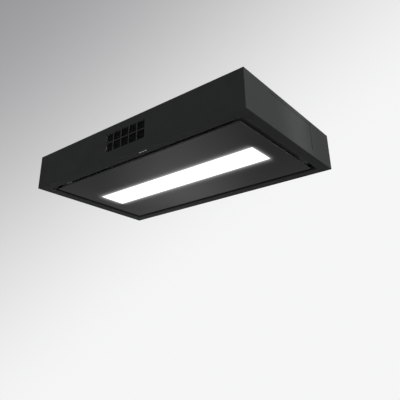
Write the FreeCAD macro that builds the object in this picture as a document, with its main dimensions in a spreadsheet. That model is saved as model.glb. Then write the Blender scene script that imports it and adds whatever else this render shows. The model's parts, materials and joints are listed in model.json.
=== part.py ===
import FreeCAD, Part
import math
import os
import re
import Sketcher
from FreeCAD import Placement, Rotation, Vector

# Ceiling extractor hood with perimeter suction, a drop-down glass panel with a light window,
# a built-in blower and a recirculation outlet in its front face.
# Frame: X along the long side, Y from the outlet face to the rear face, Z up.
# The origin is the centre of the face that lies against the ceiling. Millimetres.

SIZES = {
    # casing: four folded walls with a rim, and a top plate
    "casing_length": 1200.0, "casing_width": 700.0, "casing_height": 168.0,
    "sheet": 1.5, "rim_width": 48.0, "lip_height": 18.0, "return_width": 18.0, "bend_radius": 2.0,
    # outlet grille: square cells punched in the front wall
    "grille_drop": 79.25, "cell_width": 41.8, "cell_height": 39.5, "grille_bar": 5.6,
    # corner brackets inside the casing
    "corner_leg": 40.0, "corner_sheet": 2.0, "corner_top": 10.0, "corner_bottom": 116.0,
    # service opening in the right wall, and the cover set back in it
    "cover_width": 340.0, "cover_height": 120.0, "cover_drop": 78.0, "cover_gap": 0.4, "cover_ledge": 10.0,
    "cover_recess": 0.8, "clip_width": 20.0, "clip_reach": 10.0, "clip_sheet": 0.8, "clip_y": 110.0,
    "clip_bead_radius": 1.2, "clip_bead_setback": 4.0,
    # ceiling fixing
    "bolt_spacing_long": 800.0, "bolt_spacing_short": 400.0, "bolt_hole_radius": 4.5,
    "rail_length": 640.0, "rail_width": 70.0, "rail_depth": 22.0, "rail_sheet": 2.0,
    "gland_across": 530.0, "gland_hole_radius": 14.0, "gland_bore_radius": 9.0,
    # glass panel and its tray
    "slot_width": 21.0, "glass_thickness": 4.0, "glass_edge": 0.8,
    "window_length": 900.0, "window_width": 143.0, "window_gap": 0.3, "diffuser_flange": 8.0,
    "diffuser_sheet": 2.0, "seal_sheet": 0.5, "reflector_play": 3.0, "reflector_sheet": 1.0,
    "tray_inset": 16.0, "tray_height": 14.0, "tray_sheet": 1.0, "tray_return": 12.0,
    "rib_y": 165.0, "rib_width": 40.0, "rib_setback": 30.0,
    "led_pitch": 40.0, "led_row_offset": 36.0, "led_board_width": 18.0, "led_board_setback": 10.0,
    "led_length": 5.0, "led_width": 3.5, "led_height": 0.8,
    # filter deck
    "deck_drop": 126.0, "deck_flange": 20.0, "deck_bracket_size": 22.0, "deck_bracket_length": 30.0,
    "flange_sheet": 1.2, "frame_relief": 4.0,
    "filter_opening_x": 300.0, "filter_opening_y": 470.0, "filter_play": 3.0, "filter_flange": 9.0,
    "filter_height": 18.0, "filter_sheet": 1.2, "filter_seat_gap": 0.3,
    "filter_left_x": -400.0, "filter_right_x": 290.0, "filter_rim": 10.0, "mesh_sheet": 0.5,
    "pull_length": 70.0, "pull_width": 18.0, "pull_height": 3.0, "pull_wall": 8.0, "pull_inset": 20.0,
    # panel hinges and catches
    "hinge_y": 275.0, "hinge_drop": 152.0, "hinge_x": 420.0, "hinge_pin_radius": 3.0,
    "hinge_knuckle_radius": 6.0, "hinge_ear": 3.0, "hinge_half": 15.0, "hinge_play": 0.08,
    "hinge_leaf_length": 60.0, "hinge_web": 4.0, "hinge_sheet": 2.0, "pin_head": 1.5,
    "catch_x": 430.0, "catch_y": -254.0, "catch_gap": 0.4, "magnet_height": 3.0, "strike_sheet": 1.0,
    # blower
    "fan_x": -82.5, "fan_y": 60.0, "duct_half_width": 117.5, "blower_sheet": 1.2, "blower_height": 88.1,
    "scroll_radius": 135.0, "scroll_step": 26.0, "scroll_end_y": -150.0, "inlet_radius": 92.0,
    "tab_size": 20.0, "tab_hole_shift": 3.0,
    "wheel_level": 112.5, "wheel_radius": 110.0, "wheel_inner_radius": 92.0, "wheel_sheet": 1.5,
    "blade_centre_x": 103.0, "blade_centre_y": -12.0, "blade_curve": 14.0, "blade_sheet": 1.0,
    "blade_height": 64.0,
    # motor, with levels above the wheel's back plate
    "rotor_radius": 46.0, "rotor_flange": 11.0, "rotor_flange_sheet": 2.0, "rotor_fixing": 6.0,
    "can_height": 48.0, "can_sheet": 2.5, "shaft_radius": 4.0, "shaft_play": 0.05, "shaft_inset": 1.0,
    "tube_height": 38.0, "tube_wall": 3.5, "bearing_radius": 7.5, "bearing_height": 6.0,
    "bearing_low": 2.0, "bearing_high": 30.0,
    "winding_low": 4.0, "winding_height": 30.0, "winding_gap": 6.0,
    "base_sheet": 3.0, "base_edge": 6.0, "bush_height": 3.0, "bush_radius": 7.0, "motor_foot_radius": 40.0,
    # odour cartridge in the outlet duct
    "gasket": 3.0, "cartridge_depth": 30.0, "cartridge_setback": 1.0, "cartridge_play": 0.5,
    "cartridge_lift": 0.2, "cartridge_wall": 2.0,
    # electronics bay behind the service cover
    "bay_x": 470.0, "bay_half_y": 190.0, "board_lift": 6.0, "board_thickness": 1.6, "post_radius": 3.0,
    "relay_length": 16.0, "relay_width": 20.0, "relay_height": 24.0, "relay_pitch": 26.0,
    "smoothing_radius": 9.0, "smoothing_height": 33.0, "smoothing_pitch": 24.0,
    "driver_length": 140.0, "driver_width": 50.0, "driver_height": 30.0, "capacitor_radius": 17.0,
    "terminal_pitch": 11.0, "terminal_height": 22.0, "terminal_well": 10.0, "terminal_well_radius": 3.0,
    "gland_collar": 5.0, "gland_collar_height": 3.5,
    # push keys in the front rim
    "key_x": 87.0, "key_y": -325.0, "key_pitch": 15.5, "key_length": 11.0, "key_width": 5.0,
    "key_proud": 0.4, "key_gap": 0.3, "key_flange": 1.5, "key_overlap": 3.0, "key_travel": 0.8,
    "key_tip_length": 5.0, "key_tip_width": 3.0, "key_tip_height": 1.2,
    "carrier_half_x": 40.0, "carrier_half_y": 10.0, "carrier_height": 6.5, "carrier_end": 13.0,
    "carrier_side": 3.0, "switch_size": 6.0, "switch_height": 2.0, "plunger_radius": 1.5,
    # screws
    "screw_radius": 2.0, "screw_hole_radius": 2.1, "screw_head_radius": 4.0, "screw_head_height": 2.4,
}

doc = FreeCAD.newDocument("ceiling_extractor")
sheet = doc.addObject("Spreadsheet::Sheet", "Sizes")
for row, (alias, value) in enumerate(SIZES.items(), 1):
    sheet.set(f"A{row}", alias)
    sheet.set(f"B{row}", str(value))
    sheet.setAlias(f"B{row}", alias)
doc.recompute()

nodes = []

RETURN_LINE_X = "casing_length / 2 - return_width / 2"
RETURN_LINE_Y = "casing_width / 2 - return_width / 2"
DECK_LINE_X = "casing_length / 2 - sheet - deck_bracket_size / 2"
DECK_LINE_Y = "casing_width / 2 - sheet - deck_bracket_size / 2"
WHEEL_LEVEL = "-wheel_level"
FILTERS = (("left", "filter_left_x"), ("right", "filter_right_x"))
KEYS = (("key_light", "key_x - key_pitch"), ("key_fan", "key_x"), ("key_timer", "key_x + key_pitch"))
RETURN_SCREWS = {
    "front": [(x, f"-({RETURN_LINE_Y})") for x in ("-450", "-150", "150", "450")],
    "rear": [(x, RETURN_LINE_Y) for x in ("-450", "-150", "150", "450")],
    "left": [(f"-({RETURN_LINE_X})", y) for y in ("-200", "200")],
    "right": [(RETURN_LINE_X, y) for y in ("-200", "200")],
}
DECK_FIXINGS = [(x, f"{sign} * ({DECK_LINE_Y})", True, sign) for x in ("-350", "350") for sign in (-1, 1)]
DECK_FIXINGS += [(f"-({DECK_LINE_X})", y, False, -1) for y in ("-150", "150")]
DECK_FIXINGS += [(DECK_LINE_X, y, False, 1) for y in ("-260", "260")]
# Each blower tab: its centre from the fan's axis, and the outward way in which its hole is shifted.
BLOWER_TABS = (((-156, 13), (-1, 0)), ((13, 183), (0, 1)), ((209, -20), (1, 0)))
TAB_HOLES = [(f"fan_x + {x} + {way_x} * tab_hole_shift", f"fan_y + {y} + {way_y} * tab_hole_shift")
             for (x, y), (way_x, way_y) in BLOWER_TABS]
MOTOR_FEET = [(f"fan_x + motor_foot_radius * {math.cos(math.radians(turn)):.6f}",
               f"fan_y + motor_foot_radius * {math.sin(math.radians(turn)):.6f}") for turn in (90, 210, 330)]
WHEEL_TURNS = (45, 135, 225, 315)
WHEEL_SPOTS = [(f"(rotor_radius + rotor_fixing) * {math.cos(math.radians(turn)):.6f}",
                f"(rotor_radius + rotor_fixing) * {math.sin(math.radians(turn)):.6f}")
               for turn in WHEEL_TURNS]
WHEEL_FIXINGS = [(f"fan_x + {x}", f"fan_y + {y}") for x, y in WHEEL_SPOTS]
BOLTS = [(f"{sign_x} * bolt_spacing_long / 2", f"{sign_y} * bolt_spacing_short / 2")
         for sign_x in (-1, 1) for sign_y in (-1, 1)]


# ---- helpers: expressions on the sheet ----

def expr(text):
    """Prefix each sheet alias in a formula, so that a property can be bound to it."""
    def prefix(match):
        word = match.group(0)
        return f"Sizes.{word}" if word in SIZES else word
    return re.sub(r"[A-Za-z_]\w*", prefix, str(text))


def span(width, centre="0"):
    """The low and high ends of a width about a centre."""
    return f"({centre}) - ({width}) / 2", f"({centre}) + ({width}) / 2"


def on_side(sign, low, high):
    """The same stretch on the positive or the negative side of an axis."""
    return (low, high) if sign > 0 else (f"-({high})", f"-({low})")


def keep(item, name):
    """Name a finished sub-part and list it as a node."""
    item.Label = name
    nodes.append(item)
    return item


# ---- helpers: Part primitives and booleans ----

def box(x, y, z, name="block"):
    """A box between the low and high expressions on each axis."""
    solid = doc.addObject("Part::Box", name)
    for side, axis, (low, high) in (("Length", "x", x), ("Width", "y", y), ("Height", "z", z)):
        solid.setExpression(side, expr(f"({high}) - ({low})"))
        solid.setExpression(f"Placement.Base.{axis}", expr(low))
    return solid


TURN = {
    "x": Rotation(Vector(0, 1, 0), 90),
    "y": Rotation(Vector(1, 0, 0), -90),
    "z": Rotation(),
}


def rod(axis, at, ends, radius, name="rod"):
    """A cylinder along an axis: at holds its other two coordinates, in X, Y, Z order."""
    solid = doc.addObject("Part::Cylinder", name)
    solid.Placement = Placement(Vector(), TURN[axis])
    solid.setExpression("Radius", expr(radius))
    solid.setExpression("Height", expr(f"({ends[1]}) - ({ends[0]})"))
    others = [letter for letter in "xyz" if letter != axis]
    for letter, where in zip(others, at):
        solid.setExpression(f"Placement.Base.{letter}", expr(where))
    solid.setExpression(f"Placement.Base.{axis}", expr(ends[0]))
    return solid


def group(parts, name="group"):
    """Separate solids held in one object."""
    bundle = doc.addObject("Part::Compound", name)
    bundle.Links = parts
    return bundle


def cut(base, *tools, name="cut"):
    result = doc.addObject("Part::Cut", name)
    result.Base = base
    result.Tool = tools[0] if len(tools) == 1 else group(list(tools), "tools")
    return result


def join(*parts, name="join"):
    result = doc.addObject("Part::MultiFuse", name)
    result.Shapes = list(parts)
    result.Refine = True
    return result


def screw(place, seat, tip):
    """A pan-head screw along Z: the head sits against the seat level, away from the tip level."""
    x, y, head_side = place
    head_end = f"{seat} + {head_side} * screw_head_height"
    middle = f"{seat} + {head_side} * screw_head_height / 2"
    head = (seat, head_end) if head_side > 0 else (head_end, seat)
    shank = (tip, middle) if head_side > 0 else (middle, tip)
    return join(rod("z", (x, y), head, "screw_head_radius"), rod("z", (x, y), shank, "screw_radius"))


# ---- helpers: PartDesign bodies ----

def body(name):
    return doc.addObject("PartDesign::Body", name)


def sketch(item, role, offset="0"):
    """A sketch parallel to one of the body's origin planes, at an offset along its normal."""
    support = next(plane for plane in item.Origin.OriginFeatures if plane.Role == role)
    drawing = item.newObject("Sketcher::SketchObject", f"{item.Name}_sketch")
    drawing.AttachmentSupport = (support, "")
    drawing.MapMode = "FlatFace"
    drawing.setExpression("AttachmentOffset.Base.z", expr(offset))
    return drawing


def bind(drawing, index, text):
    """Name a sketch constraint and drive it from the sheet."""
    label = f"size_{index}"
    drawing.renameConstraint(index, label)
    drawing.setExpression(f"Constraints.{label}", expr(text))


def outline(drawing, points):
    """A closed outline whose corners are bound to (x, y) expressions."""
    first = drawing.GeometryCount
    count = len(points)
    start = [Vector(10 * math.cos(math.tau * k / count), 10 * math.sin(math.tau * k / count), 0)
             for k in range(count)]
    drawing.addGeometry([Part.LineSegment(start[k], start[(k + 1) % count]) for k in range(count)])
    rules = [Sketcher.Constraint("Coincident", first + k, 2, first + (k + 1) % count, 1)
             for k in range(count)]
    for k, corner in enumerate(start):
        rules.append(Sketcher.Constraint("DistanceX", -1, 1, first + k, 1, corner.x))
        rules.append(Sketcher.Constraint("DistanceY", -1, 1, first + k, 1, corner.y))
    added = drawing.addConstraint(rules)
    for k, (x, y) in enumerate(points):
        bind(drawing, added[count + 2 * k], x)
        bind(drawing, added[count + 2 * k + 1], y)


def pill(drawing, x, y, length, width):
    """A slot with round ends along X, centred on (x, y)."""
    quarter = math.pi / 2
    up = Vector(0, 0, 1)
    arc_left = Part.ArcOfCircle(Part.Circle(Vector(-2, 0, 0), up, 1), quarter, 3 * quarter)
    arc_right = Part.ArcOfCircle(Part.Circle(Vector(2, 0, 0), up, 1), -quarter, quarter)
    below = Part.LineSegment(Vector(-2, -1, 0), Vector(2, -1, 0))
    above = Part.LineSegment(Vector(-2, 1, 0), Vector(2, 1, 0))
    left, right, low, high = drawing.addGeometry([arc_left, arc_right, below, above])
    added = drawing.addConstraint([
        Sketcher.Constraint("Tangent", left, 2, low, 1),
        Sketcher.Constraint("Tangent", low, 2, right, 1),
        Sketcher.Constraint("Tangent", right, 2, high, 2),
        Sketcher.Constraint("Tangent", high, 1, left, 1),
        Sketcher.Constraint("Equal", left, right),
        Sketcher.Constraint("DistanceX", -1, 1, left, 3, -2.0),
        Sketcher.Constraint("DistanceY", -1, 1, left, 3, 0.0),
        Sketcher.Constraint("DistanceX", -1, 1, right, 3, 2.0),
        Sketcher.Constraint("DistanceY", -1, 1, right, 3, 0.0),
        Sketcher.Constraint("Radius", left, 1.0),
    ])
    reach = f"(({length}) - ({width})) / 2"
    driven = (f"{x} - {reach}", y, f"{x} + {reach}", y, f"({width}) / 2")
    for number, text in zip(added[5:], driven):
        bind(drawing, number, text)


def rectangle(drawing, x, y):
    outline(drawing, [(x[0], y[0]), (x[1], y[0]), (x[1], y[1]), (x[0], y[1])])


def circle(drawing, x, y, radius):
    index = drawing.addGeometry(Part.Circle(Vector(1, 1, 0), Vector(0, 0, 1), 1))
    added = drawing.addConstraint([
        Sketcher.Constraint("DistanceX", -1, 1, index, 3, 1.0),
        Sketcher.Constraint("DistanceY", -1, 1, index, 3, 1.0),
        Sketcher.Constraint("Radius", index, 1.0),
    ])
    for number, text in zip(added, (x, y, radius)):
        bind(drawing, number, text)


def pad(item, drawing, length, reverse=False):
    feature = item.newObject("PartDesign::Pad", f"{item.Name}_pad")
    feature.Profile = drawing
    feature.Reversed = reverse
    feature.setExpression("Length", expr(length))
    return feature


def pocket(item, drawing, depth, reverse=False):
    feature = item.newObject("PartDesign::Pocket", f"{item.Name}_pocket")
    feature.Profile = drawing
    feature.Reversed = reverse
    feature.setExpression("Length", expr(depth))
    return feature


def dress(item, kind, radius, test):
    """A Fillet or Chamfer on the edges that pass a test, given their end points."""
    doc.recompute()
    base = item.Tip
    found = [f"Edge{k}" for k, edge in enumerate(base.Shape.Edges, 1)
             if test([vertex.Point for vertex in edge.Vertexes])]
    feature = item.newObject(f"PartDesign::{kind}", f"{item.Name}_{kind.lower()}")
    feature.Base = (base, found)
    feature.setExpression("Radius" if kind == "Fillet" else "Size", expr(radius))
    return feature


def near(value, target):
    return abs(value - target) < 0.01


# ---- levels and half sizes that several sub-parts share ----

HALF_LENGTH = "casing_length / 2"
HALF_WIDTH = "casing_width / 2"
RIM_BOTTOM = "-casing_height"
GLASS_TOP = "-casing_height + glass_thickness"
GLASS_HALF_X = "(casing_length / 2 - rim_width - slot_width)"
GLASS_HALF_Y = "(casing_width / 2 - rim_width - slot_width)"
TRAY_TOP = "-casing_height + glass_thickness + tray_height"
TRAY_HALF_X = "(casing_length / 2 - rim_width - slot_width - tray_inset)"
TRAY_HALF_Y = "(casing_width / 2 - rim_width - slot_width - tray_inset)"
DECK_BOTTOM = "-deck_drop"
DECK_TOP = "-deck_drop + sheet"
BLOWER_TOP = "-deck_drop + sheet + 2 * blower_sheet + blower_height"
WALL_INSIDE_X = "(casing_length / 2 - sheet)"
WALL_INSIDE_Y = "(casing_width / 2 - sheet)"


# ---- casing ----

SIDES = {
    "front": ((-1, -1), (1, -1)),
    "rear": ((1, 1), (-1, 1)),
    "left": ((-1, 1), (-1, -1)),
    "right": ((1, -1), (1, 1)),
}


def ring_corner(depth, sign_x, sign_y):
    """A corner of the rectangle that lies a depth inside the casing's outer faces."""
    return (f"{sign_x} * (casing_length / 2 - ({depth}))",
            f"{sign_y} * (casing_width / 2 - ({depth}))")


def mitred_strip(side, near, far):
    """A strip along one side, between two depths, with both ends cut at 45 degrees."""
    start, end = SIDES[side]
    return [ring_corner(near, *start), ring_corner(near, *end),
            ring_corner(far, *end), ring_corner(far, *start)]


def casing_panel(side):
    """A folded wall with its rim, the rim's upturned lip and a top return."""
    panel = body(f"casing_{side}")
    strips = (
        ("0", "sheet", RIM_BOTTOM, "casing_height"),
        ("0", "rim_width", RIM_BOTTOM, "sheet"),
        ("rim_width - sheet", "rim_width", RIM_BOTTOM, "lip_height"),
        ("0", "return_width", "-2 * sheet", "sheet"),
    )
    for near, far, low, height in strips:
        drawing = sketch(panel, "XY_Plane", low)
        outline(drawing, mitred_strip(side, near, far))
        pad(panel, drawing, height)
    return panel


def round_bends(panel):
    """Round the two bends of the rim that face down."""
    def depth(point):
        return min(SIZES["casing_length"] / 2 - abs(point.x), SIZES["casing_width"] / 2 - abs(point.y))

    def on_bend(ends):
        low = all(near(point.z, -SIZES["casing_height"]) for point in ends)
        return low and any(all(near(depth(point), wanted) for point in ends)
                           for wanted in (0, SIZES["rim_width"]))

    dress(panel, "Fillet", "bend_radius", on_bend)


def punch_grille(panel):
    """Two rows of five square cells through the front wall."""
    pitch_x = "(cell_width + grille_bar)"
    pitch_z = "(cell_height + grille_bar)"
    drawing = sketch(panel, "XZ_Plane", HALF_WIDTH)
    rectangle(drawing, span("cell_width", f"-2 * {pitch_x}"),
              span("cell_height", f"-grille_drop - {pitch_z} / 2"))
    hole = pocket(panel, drawing, "3 * sheet")
    cells = panel.newObject("PartDesign::LinearPattern", "grille_cells")
    cells.Originals = [hole]
    cells.Direction = (drawing, ["H_Axis"])
    cells.Occurrences = 5
    cells.setExpression("Length", expr(f"4 * {pitch_x}"))
    cells.Direction2 = (drawing, ["V_Axis"])
    cells.Occurrences2 = 2
    cells.setExpression("Length2", expr(pitch_z))
    panel.Tip = cells


def cut_service_opening(panel):
    drawing = sketch(panel, "YZ_Plane", HALF_LENGTH)
    rectangle(drawing, span("cover_width"), span("cover_height", "-cover_drop"))
    pocket(panel, drawing, "3 * sheet")


def cut_key_holes(panel):
    """Pill-shaped holes for the push keys, through the front rim."""
    drawing = sketch(panel, "XY_Plane", RIM_BOTTOM)
    for _, centre in KEYS:
        pill(drawing, centre, "key_y", "key_length + 2 * key_gap", "key_width + 2 * key_gap")
    pocket(panel, drawing, "2 * sheet", reverse=True)


def drill_return(panel, places):
    """Holes for the screws that join a wall's top return to the top plate."""
    drawing = sketch(panel, "XY_Plane", "-2 * sheet")
    for x, y in places:
        circle(drawing, x, y, "screw_hole_radius")
    pocket(panel, drawing, "sheet", reverse=True)


def make_casing():
    front = casing_panel("front")
    punch_grille(front)
    cut_key_holes(front)
    right = casing_panel("right")
    cut_service_opening(right)
    panels = {"front": front, "rear": casing_panel("rear"), "left": casing_panel("left"), "right": right}
    for side, panel in panels.items():
        drill_return(panel, RETURN_SCREWS[side])
        round_bends(panel)
        keep(panel, panel.Name)

    plate = box(span(f"2 * {WALL_INSIDE_X}"), span(f"2 * {WALL_INSIDE_Y}"), ("-sheet", "0"))
    places = [place for side in SIDES for place in RETURN_SCREWS[side]]
    through = ("-2 * sheet", "sheet")
    holes = [rod("z", place, through, "bolt_hole_radius") for place in BOLTS]
    holes += [rod("z", place, through, "screw_hole_radius") for place in places]
    holes.append(rod("z", ("gland_across", "0"), through, "gland_hole_radius"))
    keep(cut(plate, *holes), "top_plate")
    fixings = [screw((x, y, -1), "-2 * sheet", "-sheet / 3") for x, y in places]
    fixings += [screw((x, y, -1), DECK_BOTTOM, f"{DECK_TOP} + 6") for x, y, *_ in DECK_FIXINGS]
    keep(group(fixings), "casing_screws")


def make_corner_brackets():
    """An upright angle in each corner that ties two walls together."""
    brackets = []
    for sign_x in (-1, 1):
        for sign_y in (-1, 1):
            outer, inner = [], []
            for sign, wall in ((sign_x, WALL_INSIDE_X), (sign_y, WALL_INSIDE_Y)):
                outer.append(on_side(sign, f"{wall} - corner_leg", wall))
                inner.append(on_side(sign, f"{wall} - corner_leg - corner_sheet", f"{wall} - corner_sheet"))
            brackets.append(cut(box(*outer, ("-corner_bottom", "-corner_top")),
                                box(*inner, ("-corner_bottom - 1", "1 - corner_top"))))
    keep(group(brackets), "corner_brackets")


def make_mounting_rails():
    """Two channels under the top plate that carry the ceiling bolts."""
    rails = []
    for sign in (-1, 1):
        centre = f"{sign} * bolt_spacing_long / 2"
        outer = box(span("rail_width", centre), ("-rail_length / 2", "rail_length / 2"),
                    ("-sheet - rail_depth", "-sheet"))
        inner = box(span("rail_width - 2 * rail_sheet", centre), span("rail_length + 2"),
                    ("-sheet - rail_depth - 1", "-sheet - rail_sheet"))
        holes = [rod("z", (x, y), ("-sheet - 2 * rail_sheet", "0"), "bolt_hole_radius")
                 for x, y in BOLTS if x == centre]
        rails.append(cut(outer, inner, *holes))
    keep(group(rails), "mounting_rails")


# ---- service cover on the right end ----

def make_service_cover():
    """A sheet cover set back in the wall's opening, the rebated frame that it rests on, and its clips."""
    level = "-cover_drop"
    cover_back = "casing_length / 2 - cover_recess - sheet"
    ledge_back = f"{cover_back} - sheet"
    outside = box((ledge_back, WALL_INSIDE_X), span("cover_width + 2 * cover_ledge"),
                  span("cover_height + 2 * cover_ledge", level))
    rebate = box((cover_back, HALF_LENGTH), span("cover_width"), span("cover_height", level))
    through = box((f"{ledge_back} - 1", HALF_LENGTH), span("cover_width - 2 * cover_ledge"),
                  span("cover_height - 2 * cover_ledge", level))
    keep(cut(outside, rebate, through), "service_frame")

    cover = body("service_cover")
    drawing = sketch(cover, "YZ_Plane", cover_back)
    rectangle(drawing, span("cover_width - 2 * cover_gap"), span("cover_height - 2 * cover_gap", level))
    pad(cover, drawing, "sheet")
    keep(cover, "service_cover")

    clips = []
    for sign_y in (-1, 1):
        across = span("clip_width", f"{sign_y} * clip_y")
        for sign_z in (-1, 1):
            edge = f"{level} + {sign_z} * (cover_height / 2 - cover_ledge - clip_sheet)"
            arm = box((f"{cover_back} - clip_reach", cover_back), across, span("clip_sheet", edge))
            bead = rod("y", (f"{cover_back} - clip_bead_setback", f"{edge} + {sign_z} * clip_sheet"),
                       across, "clip_bead_radius")
            clips.append(join(arm, bead))
    keep(group(clips), "cover_clips")


# ---- filter deck and the two grease filters ----

def deck_bracket(x, y, along_x, sign):
    """An angle on the deck, with its upright leg against a wall."""
    low, high = span("deck_bracket_size", y if along_x else x)
    leg = (f"{high} - sheet", high) if sign > 0 else (low, f"{low} + sheet")
    along = span("deck_bracket_length", x if along_x else y)
    plates = []
    for across, height in (((low, high), "sheet"), (leg, "deck_bracket_size")):
        sides = (along, across) if along_x else (across, along)
        plates.append(box(*sides, (DECK_TOP, f"{DECK_TOP} + {height}")))
    hole = rod("z", (x, y), (f"{DECK_TOP} - 1", f"{DECK_TOP} + 3 * sheet"), "screw_hole_radius")
    return cut(join(*plates), hole)


def make_deck():
    outer = box(span(f"2 * {WALL_INSIDE_X}"), span(f"2 * {WALL_INSIDE_Y}"),
                (f"{DECK_BOTTOM} - deck_flange", DECK_TOP))
    under = box(span(f"2 * ({WALL_INSIDE_X} - flange_sheet)"), span(f"2 * ({WALL_INSIDE_Y} - flange_sheet)"),
                (f"{DECK_BOTTOM} - deck_flange - 1", DECK_BOTTOM))
    notch = box((f"{WALL_INSIDE_X} - frame_relief", HALF_LENGTH),
                span("cover_width + 2 * cover_ledge + frame_relief"),
                (f"{DECK_BOTTOM} - deck_flange - 1", f"{DECK_TOP} + 1"))
    deep = (f"{DECK_BOTTOM} - 1", f"{DECK_TOP} + 1")
    openings = [box(span("filter_opening_x", x), span("filter_opening_y"), deep) for _, x in FILTERS]
    holes = [rod("z", (x, y), deep, "screw_hole_radius") for x, y, *_ in DECK_FIXINGS]
    holes += [rod("z", place, deep, "screw_hole_radius") for place in TAB_HOLES]
    keep(cut(outer, under, notch, *openings, *holes), "filter_deck")
    keep(group([deck_bracket(*fixing) for fixing in DECK_FIXINGS]), "deck_brackets")


def make_filter(name, x):
    """A framed pack of expanded mesh that hangs in a deck opening and drops out downwards."""
    top = f"{DECK_BOTTOM} + filter_height"
    flange_top = f"{DECK_BOTTOM} - filter_seat_gap"
    flange_bottom = f"{flange_top} - filter_sheet"
    frame_x = "(filter_opening_x - 2 * filter_play)"
    frame_y = "(filter_opening_y - 2 * filter_play)"
    flange = box(span(f"{frame_x} + 2 * filter_flange", x), span(f"{frame_y} + 2 * filter_flange"),
                 (flange_bottom, flange_top))
    channel = box(span(frame_x, x), span(frame_y), (flange_bottom, top))
    hollow = box(span(f"{frame_x} - 2 * filter_sheet", x), span(f"{frame_y} - 2 * filter_sheet"),
                 (flange_top, f"{top} - filter_sheet"))
    through = box(span(f"{frame_x} - 2 * filter_rim", x), span(f"{frame_y} - 2 * filter_rim"),
                  (f"{flange_bottom} - 1", f"{top} + 1"))
    keep(cut(join(flange, channel), hollow, through), f"filter_frame_{name}")

    layers = []
    for number in (1, 2, 3):
        level = f"{flange_top} + {number} * filter_height / 4"
        layers.append(box(span(f"{frame_x} - 3 * filter_sheet", x), span(f"{frame_y} - 3 * filter_sheet"),
                          span("mesh_sheet", level)))
    keep(group(layers), f"filter_mesh_{name}")

    centre_y = f"-({frame_y} / 2 - pull_inset)"
    low, high = span("pull_width", centre_y)
    grip = box(span("pull_length", x), (low, high), (f"{flange_bottom} - pull_height", flange_bottom))
    scoop = box(span("pull_length - 2 * pull_wall", x), (f"{low} + pull_width / 3", f"{high} + 1"),
                (f"{flange_bottom} - pull_height - 1", f"{flange_bottom} - pull_height / 3"))
    keep(cut(grip, scoop), f"filter_pull_{name}")


# ---- blower ----

def scroll_outline(end_y):
    """The blower's flow outline: three arcs that grow by one step each, a tongue and a straight outlet."""
    fan = Vector(SIZES["fan_x"], SIZES["fan_y"], 0)
    step = SIZES["scroll_step"]
    radius = SIZES["scroll_radius"]
    half = step / 2
    centres = [fan + Vector(-half, half, 0), fan + Vector(half, half, 0), fan + Vector(half, -half, 0)]
    left_x = -SIZES["duct_half_width"]
    reach = left_x - centres[0].x
    tongue = Vector(left_x, centres[0].y - math.sqrt(radius ** 2 - reach ** 2), 0)
    joints = [tongue, centres[0] + Vector(-radius, 0, 0), centres[1] + Vector(0, radius + step, 0),
              centres[2] + Vector(radius + 2 * step, 0, 0)]
    middle_angles = (215, 135, 45)
    edges = [Part.makeLine(Vector(left_x, end_y, 0), tongue)]
    for number, centre in enumerate(centres):
        turn = math.radians(middle_angles[number])
        reach = radius + number * step
        middle = centre + Vector(math.cos(turn), math.sin(turn), 0) * reach
        edges.append(Part.Arc(joints[number], middle, joints[number + 1]).toShape())
    right_end = Vector(joints[3].x, end_y, 0)
    edges.append(Part.makeLine(joints[3], right_end))
    edges.append(Part.makeLine(right_end, Vector(left_x, end_y, 0)))
    return Part.Wire(edges)


def make_scroll():
    wall = SIZES["blower_sheet"]
    end_y = SIZES["scroll_end_y"]
    height = SIZES["blower_height"]
    floor_level = SIZES["sheet"] - SIZES["deck_drop"]
    outer = Part.Face(scroll_outline(end_y).makeOffset2D(wall))
    inner = Part.Face(scroll_outline(end_y - 2 * wall))
    tab = SIZES["tab_size"]
    start_x = SIZES["fan_x"] - tab / 2
    start_y = SIZES["fan_y"] - tab / 2
    tabs = [Part.makeBox(tab, tab, wall, Vector(start_x + x, start_y + y, 0)) for (x, y), _ in BLOWER_TABS]
    solid = outer.extrude(Vector(0, 0, wall + height)).fuse(tabs)
    solid = solid.cut(inner.extrude(Vector(0, 0, height)).translated(Vector(0, 0, wall)))
    raw = doc.addObject("Part::Feature", "scroll_raw")
    raw.Shape = solid.removeSplitter()
    raw.Placement = Placement(Vector(0, 0, floor_level), Rotation())
    deep = (f"{DECK_TOP} - 1", f"{DECK_TOP} + 4")
    holes = [rod("z", place, deep, "screw_hole_radius") for place in TAB_HOLES + MOTOR_FEET]
    keep(cut(raw, *holes), "blower_scroll")

    lid_face = doc.addObject("Part::Feature", "lid_raw")
    lid_face.Shape = outer.extrude(Vector(0, 0, wall))
    lid_face.Placement = Placement(Vector(0, 0, floor_level + wall + height), Rotation())
    mouth = rod("z", ("fan_x", "fan_y"), (f"{BLOWER_TOP} - 5", f"{BLOWER_TOP} + 1"), "inlet_radius + 5")
    keep(cut(lid_face, mouth), "blower_lid")


def make_inlet_ring():
    """A bell mouth that leads air from the chamber into the wheel's eye."""
    ring = body("inlet_ring")
    ring.setExpression("Placement.Base.x", expr("fan_x"))
    ring.setExpression("Placement.Base.y", expr("fan_y"))
    ring.setExpression("Placement.Base.z", expr(BLOWER_TOP))
    drawing = sketch(ring, "XZ_Plane")
    outline(drawing, [
        ("inlet_radius + 18", "blower_sheet"), ("inlet_radius + 18", "0"), ("inlet_radius + 4", "0"),
        ("inlet_radius - 1", "-4"), ("inlet_radius - 3", "-10"), ("inlet_radius - 4.2", "-10"),
        ("inlet_radius - 2.4", "-3.4"), ("inlet_radius + 3.4", "blower_sheet"),
    ])
    turned = ring.newObject("PartDesign::Revolution", "inlet_ring_turned")
    turned.Profile = drawing
    turned.ReferenceAxis = (drawing, ["V_Axis"])
    turned.Angle = 360
    keep(ring, "inlet_ring")


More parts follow.
